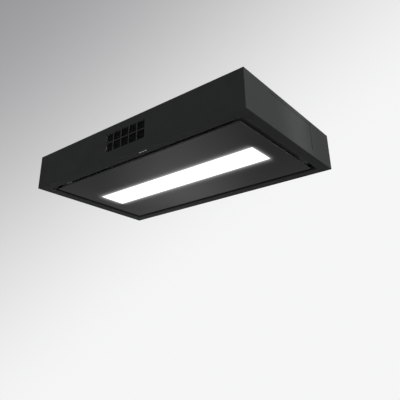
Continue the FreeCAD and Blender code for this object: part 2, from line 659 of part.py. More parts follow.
def blade_profile(drawing):
    """One forward-curved blade between the wheel's inner and outer circles."""
    inner = SIZES["wheel_inner_radius"]
    outer = SIZES["wheel_radius"]
    centre = Vector(SIZES["blade_centre_x"], SIZES["blade_centre_y"], 0)

    def crossing(reach, circle_radius):
        """Where the blade's arc of this radius crosses a circle about the wheel's axis."""
        away = centre.Length
        turn = math.acos((circle_radius ** 2 + away ** 2 - reach ** 2) / (2 * circle_radius * away))
        angle = math.atan2(centre.y, centre.x) + turn
        return Vector(circle_radius * math.cos(angle), circle_radius * math.sin(angle), 0)

    half = SIZES["blade_sheet"] / 2
    faces = [SIZES["blade_curve"] + half, SIZES["blade_curve"] - half]
    ends = [(crossing(reach, inner), crossing(reach, outer)) for reach in faces]
    arcs = []
    for reach, (near_end, far_end) in zip(faces, ends):
        base = Part.Circle(centre, Vector(0, 0, 1), reach)
        arcs.append(Part.ArcOfCircle(base, base.parameter(far_end), base.parameter(near_end)))
    rings = [Part.Circle(Vector(), Vector(0, 0, 1), reach) for reach in (inner, outer)]
    front, back = drawing.addGeometry(arcs)
    tip, root = drawing.addGeometry([Part.LineSegment(ends[0][1], ends[1][1]),
                                     Part.LineSegment(ends[0][0], ends[1][0])])
    hub_circle, rim_circle = drawing.addGeometry(rings, True)
    added = drawing.addConstraint([
        Sketcher.Constraint("Coincident", front, 1, tip, 1),
        Sketcher.Constraint("Coincident", back, 1, tip, 2),
        Sketcher.Constraint("Coincident", front, 2, root, 1),
        Sketcher.Constraint("Coincident", back, 2, root, 2),
        Sketcher.Constraint("Coincident", front, 3, back, 3),
        Sketcher.Constraint("Coincident", hub_circle, 3, -1, 1),
        Sketcher.Constraint("Coincident", rim_circle, 3, -1, 1),
        Sketcher.Constraint("PointOnObject", front, 1, rim_circle),
        Sketcher.Constraint("PointOnObject", back, 1, rim_circle),
        Sketcher.Constraint("PointOnObject", front, 2, hub_circle),
        Sketcher.Constraint("PointOnObject", back, 2, hub_circle),
        Sketcher.Constraint("DistanceX", -1, 1, front, 3, centre.x),
        Sketcher.Constraint("DistanceY", -1, 1, front, 3, centre.y),
        Sketcher.Constraint("Radius", front, faces[0]),
        Sketcher.Constraint("Radius", back, faces[1]),
        Sketcher.Constraint("Radius", hub_circle, inner),
        Sketcher.Constraint("Radius", rim_circle, outer),
    ])
    driven = ("blade_centre_x", "blade_centre_y", "blade_curve + blade_sheet / 2",
              "blade_curve - blade_sheet / 2", "wheel_inner_radius", "wheel_radius")
    for number, text in zip(added[-6:], driven):
        bind(drawing, number, text)


def make_impeller():
    wheel = body("impeller")
    wheel.setExpression("Placement.Base.x", expr("fan_x"))
    wheel.setExpression("Placement.Base.y", expr("fan_y"))
    wheel.setExpression("Placement.Base.z", expr(WHEEL_LEVEL))
    drawing = sketch(wheel, "XY_Plane")
    blade_profile(drawing)
    blade = pad(wheel, drawing, "blade_height")
    blades = wheel.newObject("PartDesign::PolarPattern", "impeller_blades")
    blades.Originals = [blade]
    blades.Axis = (drawing, ["N_Axis"])
    blades.Angle = 360
    blades.Occurrences = 36
    wheel.Tip = blades
    back = sketch(wheel, "XY_Plane", "-wheel_sheet")
    circle(back, "0", "0", "wheel_radius")
    circle(back, "0", "0", "rotor_radius - 2")
    for x, y in WHEEL_SPOTS:
        circle(back, x, y, "screw_hole_radius")
    pad(wheel, back, "wheel_sheet")
    shroud = sketch(wheel, "XY_Plane", "blade_height")
    circle(shroud, "0", "0", "wheel_radius")
    circle(shroud, "0", "0", "wheel_inner_radius")
    pad(wheel, shroud, "wheel_sheet")
    keep(wheel, "impeller")


def make_motor():
    """An external-rotor motor inside the wheel, on three rubber bushes."""
    at = ("fan_x", "fan_y")
    floor = f"{DECK_TOP} + blower_sheet"
    base_bottom = f"{floor} + bush_height"
    base_top = f"{base_bottom} + base_sheet"
    can_top = f"{WHEEL_LEVEL} + can_height"
    tube_top = f"{WHEEL_LEVEL} + tube_height"

    plate = rod("z", at, (base_bottom, base_top), "rotor_radius + base_edge")
    tube = rod("z", at, (base_bottom, tube_top), "bearing_radius + tube_wall")
    bore = rod("z", at, (f"{base_bottom} - 1", f"{tube_top} + 1"), "bearing_radius")
    holes = [rod("z", place, (f"{base_bottom} - 1", f"{base_top} + 1"), "screw_hole_radius")
             for place in MOTOR_FEET]
    keep(cut(join(plate, tube), bore, *holes), "motor_base")

    keep(group([cut(rod("z", place, (floor, base_bottom), "bush_radius"),
                    rod("z", place, (f"{floor} - 1", f"{base_bottom} + 1"), "screw_hole_radius"))
                for place in MOTOR_FEET]), "motor_bushes")

    bearings = []
    for lift in ("bearing_low", "bearing_high"):
        low = f"{WHEEL_LEVEL} + {lift}"
        high = f"{low} + bearing_height"
        bearings.append(cut(rod("z", at, (low, high), "bearing_radius"),
                            rod("z", at, (f"{low} - 1", f"{high} + 1"), "shaft_radius + shaft_play")))
    keep(group(bearings), "motor_bearings")

    low = f"{WHEEL_LEVEL} + winding_low"
    high = f"{low} + winding_height"
    keep(cut(rod("z", at, (low, high), "rotor_radius - winding_gap"),
             rod("z", at, (f"{low} - 1", f"{high} + 1"), "bearing_radius + tube_wall")), "motor_winding")

    flange_top = f"{WHEEL_LEVEL} + rotor_flange_sheet"
    flange = rod("z", at, (WHEEL_LEVEL, flange_top), "rotor_radius + rotor_flange")
    can = rod("z", at, (WHEEL_LEVEL, can_top), "rotor_radius")
    hollow = rod("z", at, (f"{WHEEL_LEVEL} - 1", f"{can_top} - can_sheet"), "rotor_radius - can_sheet")
    shaft = rod("z", at, (f"{WHEEL_LEVEL} - shaft_inset", f"{can_top} - shaft_inset"), "shaft_radius")
    holes = [rod("z", place, (f"{WHEEL_LEVEL} - 1", f"{flange_top} + 1"), "screw_hole_radius")
             for place in WHEEL_FIXINGS]
    keep(join(cut(join(flange, can), hollow, *holes), shaft), "motor_rotor")
    keep(group([screw((x, y, 1), flange_top, f"{WHEEL_LEVEL} - wheel_sheet") for x, y in WHEEL_FIXINGS]),
         "wheel_screws")
    fixings = [screw((x, y, 1), floor, f"{DECK_BOTTOM} - 3") for x, y in TAB_HOLES]
    fixings += [screw((x, y, 1), base_top, DECK_TOP) for x, y in MOTOR_FEET]
    keep(group(fixings), "blower_screws")


def make_outlet():
    """The duct from the blower to the grille, its gasket and the odour cartridge."""
    half = "(duct_half_width + blower_sheet)"
    low, high = DECK_TOP, BLOWER_TOP
    front = f"-{WALL_INSIDE_Y} + gasket"
    back = "scroll_end_y - blower_sheet"
    inner_x = span("2 * duct_half_width")
    inner_z = (f"{low} + blower_sheet", f"{high} - blower_sheet")
    keep(cut(box(span(f"2 * {half}"), (front, back), (low, high)),
             box(inner_x, (f"{front} - 1", f"{back} + 1"), inner_z)), "outlet_duct")
    keep(cut(box(span(f"2 * {half}"), (f"-{WALL_INSIDE_Y}", front), (low, high)),
             box(inner_x, (f"-{HALF_WIDTH}", f"{front} + 1"), inner_z)), "duct_gasket")

    shell_low = f"{front} + cartridge_setback"
    shell_high = f"{shell_low} + cartridge_depth"
    shell_x = span("2 * duct_half_width - 2 * cartridge_play")
    shell_z = (f"{low} + blower_sheet + cartridge_lift", f"{high} - blower_sheet - cartridge_play")
    core_x = (f"{shell_x[0]} + cartridge_wall", f"{shell_x[1]} - cartridge_wall")
    core_z = (f"{shell_z[0]} + cartridge_wall", f"{shell_z[1]} - cartridge_wall")
    keep(cut(box(shell_x, (shell_low, shell_high), shell_z), box(core_x, (front, back), core_z)),
         "cartridge_frame")
    core_y = (f"{shell_low} + cartridge_wall", f"{shell_high} - cartridge_wall")
    keep(box(core_x, core_y, core_z), "carbon_core")


# ---- electronics bay behind the service cover ----

def make_bay():
    level = DECK_TOP
    outer = box(("bay_x", WALL_INSIDE_X), span("2 * bay_half_y"), (level, "-sheet"))
    inner = box(("bay_x + flange_sheet", HALF_LENGTH), span("2 * bay_half_y - 2 * flange_sheet"),
                (f"{level} - 1", "0"))
    relief = box((f"{WALL_INSIDE_X} - return_width + sheet", HALF_LENGTH), span("2 * bay_half_y + 2"),
                 ("-2 * sheet", "0"))
    keep(cut(outer, inner, relief), "bay_partition")

    board_x = ("bay_x + 12", "bay_x + 112")
    board_y = ("20", "170")
    board_z = (f"{level} + board_lift", f"{level} + board_lift + board_thickness")
    corners = [(x, y) for x in ("bay_x + 17", "bay_x + 107") for y in ("25", "165")]
    keep(group([rod("z", place, (level, board_z[0]), "post_radius") for place in corners]), "board_posts")
    seat = f"{board_z[1]} - board_thickness / 2"
    transformer = box(("bay_x + 25", "bay_x + 67"), ("35", "71"), (seat, f"{level} + 38"))
    relays = [box(span("relay_length", "bay_x + 88"), span("relay_width", f"45 + {number} * relay_pitch"),
                  (seat, f"{level} + relay_height")) for number in range(4)]
    smoothing = [rod("z", ("bay_x + 36", f"95 + {number} * smoothing_pitch"),
                     (seat, f"{level} + smoothing_height"), "smoothing_radius") for number in range(3)]
    keep(join(box(board_x, board_y, board_z), transformer, *relays, *smoothing), "control_board")

    keep(box(span("driver_width", "bay_x + 40"), ("-driver_length - 35", "-35"),
             (level, f"{level} + driver_height")), "led_driver")
    keep(rod("y", ("bay_x + 95", f"{level} + capacitor_radius"), ("-175", "-95"), "capacitor_radius"),
         "run_capacitor")
    block_top = f"{level} + terminal_height"
    block = box(("bay_x + 80", "bay_x + 104"), ("-75", "-5"), (level, block_top))
    wells = [rod("z", ("bay_x + 92", f"{number} * terminal_pitch - 68"),
                 (f"{block_top} - terminal_well", f"{block_top} + 1"), "terminal_well_radius")
             for number in range(6)]
    keep(cut(block, *wells), "terminal_block")

    at = ("gland_across", "0")
    collar_bottom = "-sheet - gland_collar_height"
    collar = rod("z", at, (collar_bottom, "-sheet"), "gland_hole_radius + gland_collar")
    neck = rod("z", at, ("-sheet - 1", "0"), "gland_hole_radius")
    bore = rod("z", at, (f"{collar_bottom} - 1", "1"), "gland_bore_radius")
    keep(cut(join(collar, neck), bore), "cable_grommet")


# ---- push keys in the front rim ----

def make_keys():
    floor = f"{RIM_BOTTOM} + sheet"
    carrier_top = f"{floor} + carrier_height"
    board_top = f"{carrier_top} + board_thickness"
    across = span("2 * carrier_half_x", "key_x")
    along = span("2 * carrier_half_y", "key_y")
    well = box(span("2 * carrier_half_x - 2 * carrier_end", "key_x"),
               span("2 * carrier_half_y - 2 * carrier_side", "key_y"), (f"{floor} - 1", f"{carrier_top} + 1"))
    keep(cut(box(across, along, (floor, carrier_top)), well), "key_carrier")
    keep(box(across, along, (carrier_top, board_top)), "key_board")

    tip = f"{floor} + key_gap + key_flange + key_tip_height"
    switches = []
    for name, centre in KEYS:
        case = box(span("switch_size", centre), span("switch_size", "key_y"),
                   (f"{carrier_top} - switch_height", carrier_top))
        plunger = rod("z", (centre, "key_y"),
                      (f"{tip} + key_travel + key_gap", f"{carrier_top} - switch_height / 2"),
                      "plunger_radius")
        switches.append(join(case, plunger))
        key = body(name)
        levels = (
            (f"{RIM_BOTTOM} - key_proud", "key_proud + sheet + key_gap + key_flange / 2",
             "key_length", "key_width"),
            (f"{floor} + key_gap", "key_flange", "key_length + key_overlap", "key_width + key_overlap"),
            (f"{floor} + key_gap + key_flange", "key_tip_height", "key_tip_length", "key_tip_width"),
        )
        for level, height, length, width in levels:
            drawing = sketch(key, "XY_Plane", level)
            pill(drawing, centre, "key_y", length, width)
            pad(key, drawing, height)
        keep(key, name)
    keep(group(switches), "key_switches")


# ---- drop-down glass panel with the light ----

def make_glass():
    glass = body("glass_panel")
    drawing = sketch(glass, "XY_Plane", RIM_BOTTOM)
    rectangle(drawing, span(f"2 * {GLASS_HALF_X}"), span(f"2 * {GLASS_HALF_Y}"))
    rectangle(drawing, span("window_length"), span("window_width"))
    pad(glass, drawing, "glass_thickness")
    edge_x = SIZES["casing_length"] / 2 - SIZES["rim_width"] - SIZES["slot_width"]
    edge_y = SIZES["casing_width"] / 2 - SIZES["rim_width"] - SIZES["slot_width"]

    def lower_outer(ends):
        return all(near(abs(point.x), edge_x) and near(abs(point.y), edge_y)
                   and near(point.z, -SIZES["casing_height"]) for point in ends)

    dress(glass, "Chamfer", "glass_edge", lower_outer)
    keep(glass, "glass_panel")


def make_tray():
    """A shallow inverted tray bonded to the back of the glass, with two stiffening ribs."""
    outer = box(span(f"2 * {TRAY_HALF_X}"), span(f"2 * {TRAY_HALF_Y}"), (GLASS_TOP, TRAY_TOP))
    hollow = box(span(f"2 * {TRAY_HALF_X} - 2 * tray_sheet"), span(f"2 * {TRAY_HALF_Y} - 2 * tray_sheet"),
                 (f"{GLASS_TOP} + tray_sheet", f"{TRAY_TOP} - tray_sheet"))
    mouth = box(span(f"2 * {TRAY_HALF_X} - 2 * tray_return"), span(f"2 * {TRAY_HALF_Y} - 2 * tray_return"),
                (f"{GLASS_TOP} - 1", f"{GLASS_TOP} + 2 * tray_sheet"))
    keep(cut(outer, hollow, mouth), "panel_tray")

    ribs = []
    for sign in (-1, 1):
        centre = f"{sign} * rib_y"
        ribs.append(cut(box(span(f"2 * {TRAY_HALF_X} - 2 * rib_setback"), span("rib_width", centre),
                            (GLASS_TOP, f"{TRAY_TOP} - tray_sheet")),
                        box(span(f"2 * {TRAY_HALF_X}"), span("rib_width - 2 * tray_sheet", centre),
                            (f"{GLASS_TOP} - 1", f"{TRAY_TOP} - 2 * tray_sheet"))))
    keep(group(ribs), "tray_ribs")


def make_light():
    flange_x = "window_length + 2 * diffuser_flange"
    flange_y = "window_width + 2 * diffuser_flange"
    pane_x = "window_length - 2 * window_gap"
    pane_y = "window_width - 2 * window_gap"
    seal_top = f"{GLASS_TOP} + seal_sheet"
    diffuser_top = f"{seal_top} + diffuser_sheet"
    keep(cut(box(span(flange_x), span(flange_y), (GLASS_TOP, seal_top)),
             box(span("window_length"), span("window_width"), (f"{GLASS_TOP} - 1", f"{seal_top} + 1"))),
         "diffuser_seal")
    keep(join(box(span(pane_x), span(pane_y), (RIM_BOTTOM, diffuser_top)),
              box(span(flange_x), span(flange_y), (seal_top, diffuser_top))), "light_diffuser")

    ceiling = f"{TRAY_TOP} - 2 * tray_sheet"
    inside_x = f"{flange_x} + 2 * reflector_play"
    inside_y = f"{flange_y} + 2 * reflector_play"
    roof = f"{ceiling} - reflector_sheet"
    keep(cut(box(span(f"{inside_x} + 2 * reflector_sheet"), span(f"{inside_y} + 2 * reflector_sheet"),
                 (GLASS_TOP, ceiling)),
             box(span(inside_x), span(inside_y), (f"{GLASS_TOP} - 1", roof))), "light_reflector")
    board_low = f"{roof} - board_thickness"
    strips = []
    for sign in (-1, 1):
        row = f"{sign} * led_row_offset"
        strip = box(span("window_length - 2 * led_board_setback"), span("led_board_width", row),
                    (board_low, roof))
        chips = [box(span("led_length", f"{number} * led_pitch"), span("led_width", row),
                     (f"{board_low} - led_height", f"{board_low} + led_height / 2"))
                 for number in range(-10, 11)]
        strips.append(join(strip, *chips))
    keep(group(strips), "led_boards")


# ---- panel hinges and catches ----

def make_hinges():
    axle = ("hinge_y", "-hinge_drop")
    brackets = []
    pins = []
    leaves = []
    for sign in (-1, 1):
        centre = f"{sign} * hinge_x"
        base = box(span("hinge_leaf_length", centre), ("hinge_y - 14", "hinge_y + 9"),
                   (f"{DECK_BOTTOM} - hinge_sheet", DECK_BOTTOM))
        ears = []
        for ear_sign in (-1, 1):
            across = span("hinge_ear", f"{centre} + {ear_sign} * (hinge_half + hinge_ear / 2)")
            ears.append(box(across, span("2 * hinge_knuckle_radius", "hinge_y"),
                            ("-hinge_drop", f"{DECK_BOTTOM} - hinge_sheet / 2")))
            ears.append(rod("x", axle, across, "hinge_knuckle_radius"))
        bore = rod("x", axle, span("2 * hinge_half + 4 * hinge_ear", centre), "hinge_pin_radius + hinge_play")
        brackets.append(cut(join(base, *ears), bore))

        shaft = rod("x", axle, span("2 * hinge_half + 2 * hinge_ear + 4", centre), "hinge_pin_radius")
        heads = [rod("x", axle, span("pin_head", f"{centre} + {end} * (hinge_half + hinge_ear + 1.25)"),
                     "hinge_pin_radius + pin_head") for end in (-1, 1)]
        pins.append(join(shaft, *heads))

        width = span("2 * hinge_half - 1", centre)
        knuckle = rod("x", axle, width, "hinge_knuckle_radius")
        web = box(width, (TRAY_HALF_Y, "hinge_y"), span("hinge_web", "-hinge_drop - 3"))
        leaf = box(span("hinge_leaf_length", centre), (TRAY_HALF_Y, f"{TRAY_HALF_Y} + hinge_sheet"),
                   (f"{GLASS_TOP} + 1", f"{TRAY_TOP} - 1"))
        bore = rod("x", axle, span("2 * hinge_half + 4", centre), "hinge_pin_radius + hinge_play")
        leaves.append(cut(join(knuckle, web, leaf), bore))
    keep(group(brackets), "hinge_brackets")
    keep(group(pins), "hinge_pins")
    keep(group(leaves), "hinge_leaves")


def make_catches():
    """Block magnets in holders under the deck, and the strikes that they hold on the tray."""
    catches = []
    strikes = []
    strike_top = f"{TRAY_TOP} + strike_sheet"
    face = f"{strike_top} + catch_gap"
    holder_bottom = f"{face} + magnet_height"
    for sign in (-1, 1):
        x = f"{sign} * catch_x"
        catches.append(box(span("46", x), span("16", "catch_y"), (holder_bottom, DECK_BOTTOM)))
        catches.append(box(span("40", x), span("12", "catch_y"), (face, holder_bottom)))
        strikes.append(box(span("50", x), span("18", "catch_y"), (TRAY_TOP, strike_top)))
    keep(group(catches), "catch_magnets")
    keep(group(strikes), "catch_strikes")


def make_hood():
    make_casing()
    make_corner_brackets()
    make_mounting_rails()
    make_service_cover()
    make_deck()
    for name, x in FILTERS:
        make_filter(name, x)
    make_scroll()
    make_inlet_ring()
    make_impeller()
    make_motor()
    make_outlet()
    make_bay()
    make_keys()
    make_glass()
    make_tray()
    make_light()
    make_hinges()
    make_catches()


def problems():
    """Objects that failed to rebuild, and sub-parts whose shape is missing or not valid."""
    found = []
    for item in doc.Objects:
        if "Invalid" in item.State or "Error" in item.State:
            found.append(f"{item.Label}: {item.State}")
    for item in nodes:
        shape = item.Shape
        if shape.isNull() or not shape.isValid() or not shape.Solids:
            found.append(f"{item.Label}: shape is null, not valid or has no solid")
    return found


make_hood()
doc.recompute()
faults = problems()
if faults:
    raise SystemExit("\n".join(faults))
os.makedirs("parts", exist_ok=True)
for item in nodes:
    item.Shape.exportStep(f"parts/{item.Label}.step")
    print(item.Label, len(item.Shape.Solids), "solids", round(item.Shape.Volume), "mm3")
print(len(nodes), "sub-parts")
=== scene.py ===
"""Ceiling extractor hood: materials, detailed pieces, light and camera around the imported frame.

Lengths are metres in the frame's own axes: +X to the hood's right end, +Y to its rear, +Z up to the ceiling.
"""

import json
import math
import random

import bmesh
import bpy
from mathutils import Matrix, Vector

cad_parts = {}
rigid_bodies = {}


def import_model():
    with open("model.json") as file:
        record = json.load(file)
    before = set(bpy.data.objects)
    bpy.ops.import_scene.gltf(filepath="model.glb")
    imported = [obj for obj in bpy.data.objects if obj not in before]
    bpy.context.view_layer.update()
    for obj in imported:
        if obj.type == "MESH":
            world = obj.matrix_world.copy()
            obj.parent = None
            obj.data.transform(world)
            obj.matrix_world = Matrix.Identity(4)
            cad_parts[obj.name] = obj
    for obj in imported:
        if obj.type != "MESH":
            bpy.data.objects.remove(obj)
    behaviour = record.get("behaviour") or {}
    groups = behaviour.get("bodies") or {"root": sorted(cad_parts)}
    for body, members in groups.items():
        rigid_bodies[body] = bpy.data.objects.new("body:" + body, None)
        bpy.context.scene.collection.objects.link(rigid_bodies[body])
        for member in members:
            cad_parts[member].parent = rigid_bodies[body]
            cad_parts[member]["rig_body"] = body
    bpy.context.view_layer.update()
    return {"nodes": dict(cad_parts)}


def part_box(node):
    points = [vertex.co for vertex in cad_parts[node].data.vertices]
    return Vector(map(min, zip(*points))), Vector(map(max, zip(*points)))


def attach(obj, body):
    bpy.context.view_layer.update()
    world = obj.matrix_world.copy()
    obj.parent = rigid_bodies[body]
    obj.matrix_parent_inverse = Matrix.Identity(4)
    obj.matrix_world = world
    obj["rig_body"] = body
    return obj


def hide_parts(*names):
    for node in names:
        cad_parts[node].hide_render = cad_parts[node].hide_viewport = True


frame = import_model()

MM = 0.001

# The camera: where it stands, its heading left of +Y, its rise above level, its roll and its optics.
CAMERA_PLACE = (1.3203, -1.5537, -0.9916)
CAMERA_HEADING, CAMERA_RISE, CAMERA_ROLL = 39.28, 23.89, -0.34
CAMERA_LENS, CAMERA_SENSOR = 42.34, 36.0
CAMERA_SHIFT = (0.0342, -0.0903)

# The room: the floor's level and size, and the pale surround, which grows lighter along one direction.
FLOOR_LEVEL, FLOOR_SIDE = -2.3, 30.0
LIGHTER_WAY = (0.292, 0.644, -0.707)
SURROUND_RANGE = (-0.55, 0.2)
SURROUND_LEVELS = ((0.30, 0.295, 0.305), (0.92, 0.92, 0.925))

# The soft lights: where each stands, what it faces, its width and length, power, spread and turn in degrees.
SOFTBOXES = {
    "ceiling_box": ((-2.93, 3.47, 7.0), (-2.93, 3.47, FLOOR_LEVEL), (0.6, 3.8), 13.2, 16.5, CAMERA_HEADING),
    "side_box": ((6.0, -0.9, -0.1), (0.6, -0.9, -0.1), (2.0, 2.0), 15.0, 30.0, 0.0),
    "end_strip": ((1.6, 0.05, -0.084), (0.6, 0.05, -0.084), (0.14, 0.5), 0.22, 17.0, 0.0),
    "front_box": ((0.0, -7.0, -0.1), (0.0, -0.35, -0.1), (3.0, 2.0), 9.5, 60.0, 0.0),
}

# The values that Blender's noise mostly stays between.
NOISE_RANGE = (0.3, 0.7)

# The panel: how far the glow painted into the glass around the window reaches, how strongly it shines, and how
# much sooner it fades past the right end; the width of the glass's ground edge; the LED rows' distance from
# the middle; and the opal's light over a row and away from it.
PAINTED_GLOW_REACH, PAINTED_GLOW_STRENGTH, PAINTED_GLOW_RIGHT_END = 10.5 * MM, 0.45, 1.7
GROUND_EDGE = 0.6 * MM
LED_ROW = 36 * MM
OPAL_LEVELS = (1.15, 0.95)

# Expanded mesh: one diamond's size, the opening's share of it, the strands' thickness, tilt and unevenness.
DIAMOND_LONG, DIAMOND_SHORT, STRAND_OPENING = 30 * MM, 15 * MM, 0.76
STRAND_THICKNESS, LOUVRE_TILT, UNEVEN = 0.4 * MM, 0.5 * MM, 0.35 * MM

# Honeycomb: the channels' pitch, their mouth's share of it, and the thickness left behind them.
HONEYCOMB_PITCH, HONEYCOMB_MOUTH, HONEYCOMB_BACK = 7 * MM, 0.86, 3 * MM

# Screws: the cross recess in head radii, its floor's share of the mouth and its depth in head heights; the
# head's profile as radius and height; and the thread's pitch, root, taper at the tip and plain lengths.
CROSS_ARM, CROSS_MIDDLE, CROSS_HALF = 0.56, 0.36, 0.16
RECESS_FLOOR, RECESS_DEPTH = 0.55, 0.6
HEAD_PROFILE = ((0.96, 0.0), (1.0, 0.08), (1.0, 0.4), (0.95, 0.68), (0.83, 0.9), (0.68, 1.0))
THREAD_PITCH, THREAD_ROOT = 0.8 * MM, 0.84
TIP_TAPER, TIP_LENGTH = (0.7, 0.95), 0.4 * MM
THREAD_START, THREAD_PLAIN = 0.6 * MM, 0.8 * MM

# Mesh corners nearer than this are one corner, and levels nearer than LEVEL_GAP are one level.
WELD_GAP, LEVEL_GAP = 0.001 * MM, 0.1 * MM

# Edges sharper than these angles, in degrees, stay sharp in shading or are eased.
SHARP_ANGLE, STRAND_ANGLE, EASE_ANGLE = 35.0, 60.0, 40.0

# Nodes whose sharp edges are eased, and how far.
EASED = {
    0.15 * MM: ("key_light", "key_fan", "key_timer", "cover_clips", "catch_strikes"),
    0.3 * MM: ("service_cover", "top_plate", "hinge_brackets", "hinge_leaves", "deck_brackets",
               "corner_brackets", "mounting_rails", "panel_tray", "tray_ribs", "filter_frame_left",
               "filter_frame_right"),
    0.6 * MM: ("filter_pull_left", "filter_pull_right", "catch_magnets", "led_driver", "key_carrier",
               "cartridge_frame", "terminal_block", "motor_bushes"),
}


class Finish:
    """A procedural material: a Principled shader fed by textures laid out in the frame's metres."""

    def __init__(self, name, **sockets):
        self.material = bpy.data.materials.new(name)
        self.material.use_nodes = True
        self.tree = self.material.node_tree
        self.shader = self.tree.nodes["Principled BSDF"]
        for socket, value in sockets.items():
            self.shader.inputs[socket.replace("_", " ")].default_value = value
        self.normal = None

    def add(self, kind, settings=None, **inputs):
        """A node of that kind; an input is a value or another node's output."""
        node = self.tree.nodes.new("ShaderNode" + kind)
        for key, value in (settings or {}).items():
            setattr(node, key, value)
        for socket, value in inputs.items():
            self.feed(node.inputs[socket.replace("_", " ")], value)
        return node

    def feed(self, socket, value):
        """Links the socket to another node's output, or sets its value."""
        if isinstance(value, bpy.types.NodeSocket):
            self.tree.links.new(value, socket)
        else:
            socket.default_value = value

    def place(self, stretch=(1, 1, 1)):
        """Object coordinates, which are the frame's metres, divided by stretch."""
        coordinates = self.add("TexCoord").outputs["Object"]
        scale = tuple(1 / s for s in stretch)
        return self.add("Mapping", Vector=coordinates, Scale=scale).outputs["Vector"]

    def noise(self, size, detail=3.0, stretch=(1, 1, 1)):
        """Soft noise whose features are about size across."""
        where = self.place(stretch)
        return self.add("TexNoise", Vector=where, Scale=1 / size, Detail=detail).outputs["Fac"]

    def cells(self, size, output="Distance", feature="F1"):
        """Cells about size across."""
        where = self.place()
        return self.add("TexVoronoi", {"feature": feature}, Vector=where, Scale=1 / size).outputs[output]

    def between(self, source, low, high, start=NOISE_RANGE[0], end=NOISE_RANGE[1]):
        """Source, taken from start..end to low..high."""
        ranged = self.add("MapRange", Value=source)
        for socket, value in zip(("From Min", "From Max", "To Min", "To Max"), (start, end, low, high)):
            ranged.inputs[socket].default_value = value
        return ranged.outputs["Result"]

    def maths(self, operation, *values):
        """The result of one operation on values or other nodes' outputs."""
        node = self.add("Math", {"operation": operation})
        for socket, value in zip(node.inputs, values):
            self.feed(socket, value)
        return node.outputs[0]

    def mixed(self, share, first, second):
        """A colour between two, by share."""
        node = self.add("Mix", {"data_type": "RGBA"})
        self.feed(node.inputs["Factor"], share)
        colours = [socket for socket in node.inputs if socket.type == "RGBA"]
        self.feed(colours[0], first)
        self.feed(colours[1], second)
        return next(socket for socket in node.outputs if socket.type == "RGBA")

    def colour(self, source):
        self.feed(self.shader.inputs["Base Color"], source)

    def tones(self, source, first, second, start=NOISE_RANGE[0], end=NOISE_RANGE[1]):
        """Base colour between two, as source goes from start to end."""
        self.colour(self.mixed(self.between(source, low=0, high=1, start=start, end=end), first, second))

    def rough(self, source):
        self.feed(self.shader.inputs["Roughness"], source)

    def bump(self, height, depth):
        """Raises the surface by depth where height is 1, over any bump already there."""
        node = self.add("Bump", Height=height, Distance=depth)
        if self.normal is not None:
            self.feed(node.inputs["Normal"], self.normal)
        self.normal = node.outputs["Normal"]
        self.feed(self.shader.inputs["Normal"], self.normal)


def grey(level, tint=(1.0, 1.0, 1.0)):
    """A colour of that level with a slight tint."""
    return tuple(level * part for part in tint) + (1.0,)


# ---- finishes: coated sheet ----

def powder_coat(name, level, roughness, specular, tint=(0.97, 1.0, 0.99)):
    """Fine-textured powder coat: orange peel over a millimetre grain, and slow changes of tone and gloss."""
    made = Finish(name, Specular_IOR_Level=specular)
    slow = made.noise(size=90 * MM, detail=4.0)
    grain = made.noise(size=0.45 * MM, detail=1.0)
    speckle = made.maths("MULTIPLY_ADD", grain, 0.3, made.maths("MULTIPLY", slow, 0.7))
    made.tones(speckle, grey(0.92 * level, tint), grey(1.08 * level, tint))
    made.rough(made.between(slow, low=roughness - 0.03, high=roughness + 0.04))
    made.bump(made.noise(size=2.2 * MM, detail=2.0), depth=0.03 * MM)
    made.bump(grain, depth=0.012 * MM)
    return made.material


# ---- finishes: the light panel ----

def faded(made, distance):
    """1 where distance is nought, falling away over the reach of the painted glow."""
    return made.maths("EXPONENT", made.maths("MULTIPLY", distance, -1 / PAINTED_GLOW_REACH))


def black_glass(name, low, high, edge):
    """Dark tinted glass with faint smudges, ground along its edge, whose corner is at edge.

    A painted glow, emission laid into the glass itself, spreads a little way out from a window, low to high,
    and half as much at the window's corners.
    """
    made = Finish(name, IOR=1.46, Specular_IOR_Level=0.135, Emission_Color=(1.0, 1.0, 1.0, 1.0))
    parts = made.add("SeparateXYZ", Vector=made.place())
    shares, ground = [], []
    for axis in range(2):
        from_centre = made.maths("SUBTRACT", parts.outputs[axis], (low[axis] + high[axis]) / 2)
        off_centre = made.maths("ABSOLUTE", from_centre)
        past_edge = made.maths("SUBTRACT", off_centre, (high[axis] - low[axis]) / 2)
        if axis == 0:
            on_right = made.maths("GREATER_THAN", from_centre, 0.0)
            steeper = made.maths("MULTIPLY_ADD", on_right, PAINTED_GLOW_RIGHT_END - 1.0, 1.0)
            past_edge = made.maths("MULTIPLY", past_edge, steeper)
        outside = made.maths("MAXIMUM", past_edge, 0.0)
        inside = made.maths("SUBTRACT", outside, past_edge)
        near_corner = made.maths("MULTIPLY_ADD", faded(made, inside), -0.5, 1.0)
        shares.append(made.maths("MULTIPLY", faded(made, outside), near_corner))
        ground.append(made.maths("GREATER_THAN", off_centre, edge[axis] - GROUND_EDGE))
    on_edge = made.maths("MAXIMUM", *ground)
    smudge = made.noise(size=140 * MM, detail=5.0, stretch=(1.6, 1, 1))
    made.colour(made.mixed(on_edge, grey(0.004), grey(0.09, (0.9, 1.0, 0.97))))
    made.rough(made.maths("MULTIPLY_ADD", on_edge, 0.4, made.between(smudge, low=0.05, high=0.1)))
    made.bump(made.noise(size=60 * MM, detail=1.0), depth=0.02 * MM)
    # Painted glow: the glass's own emission around the window, not light from any lamp.
    painted_glow = made.maths("MULTIPLY", *shares)
    made.feed(made.shader.inputs["Emission Strength"], made.maths("MULTIPLY", painted_glow, 2 * PAINTED_GLOW_STRENGTH))
    return made.material


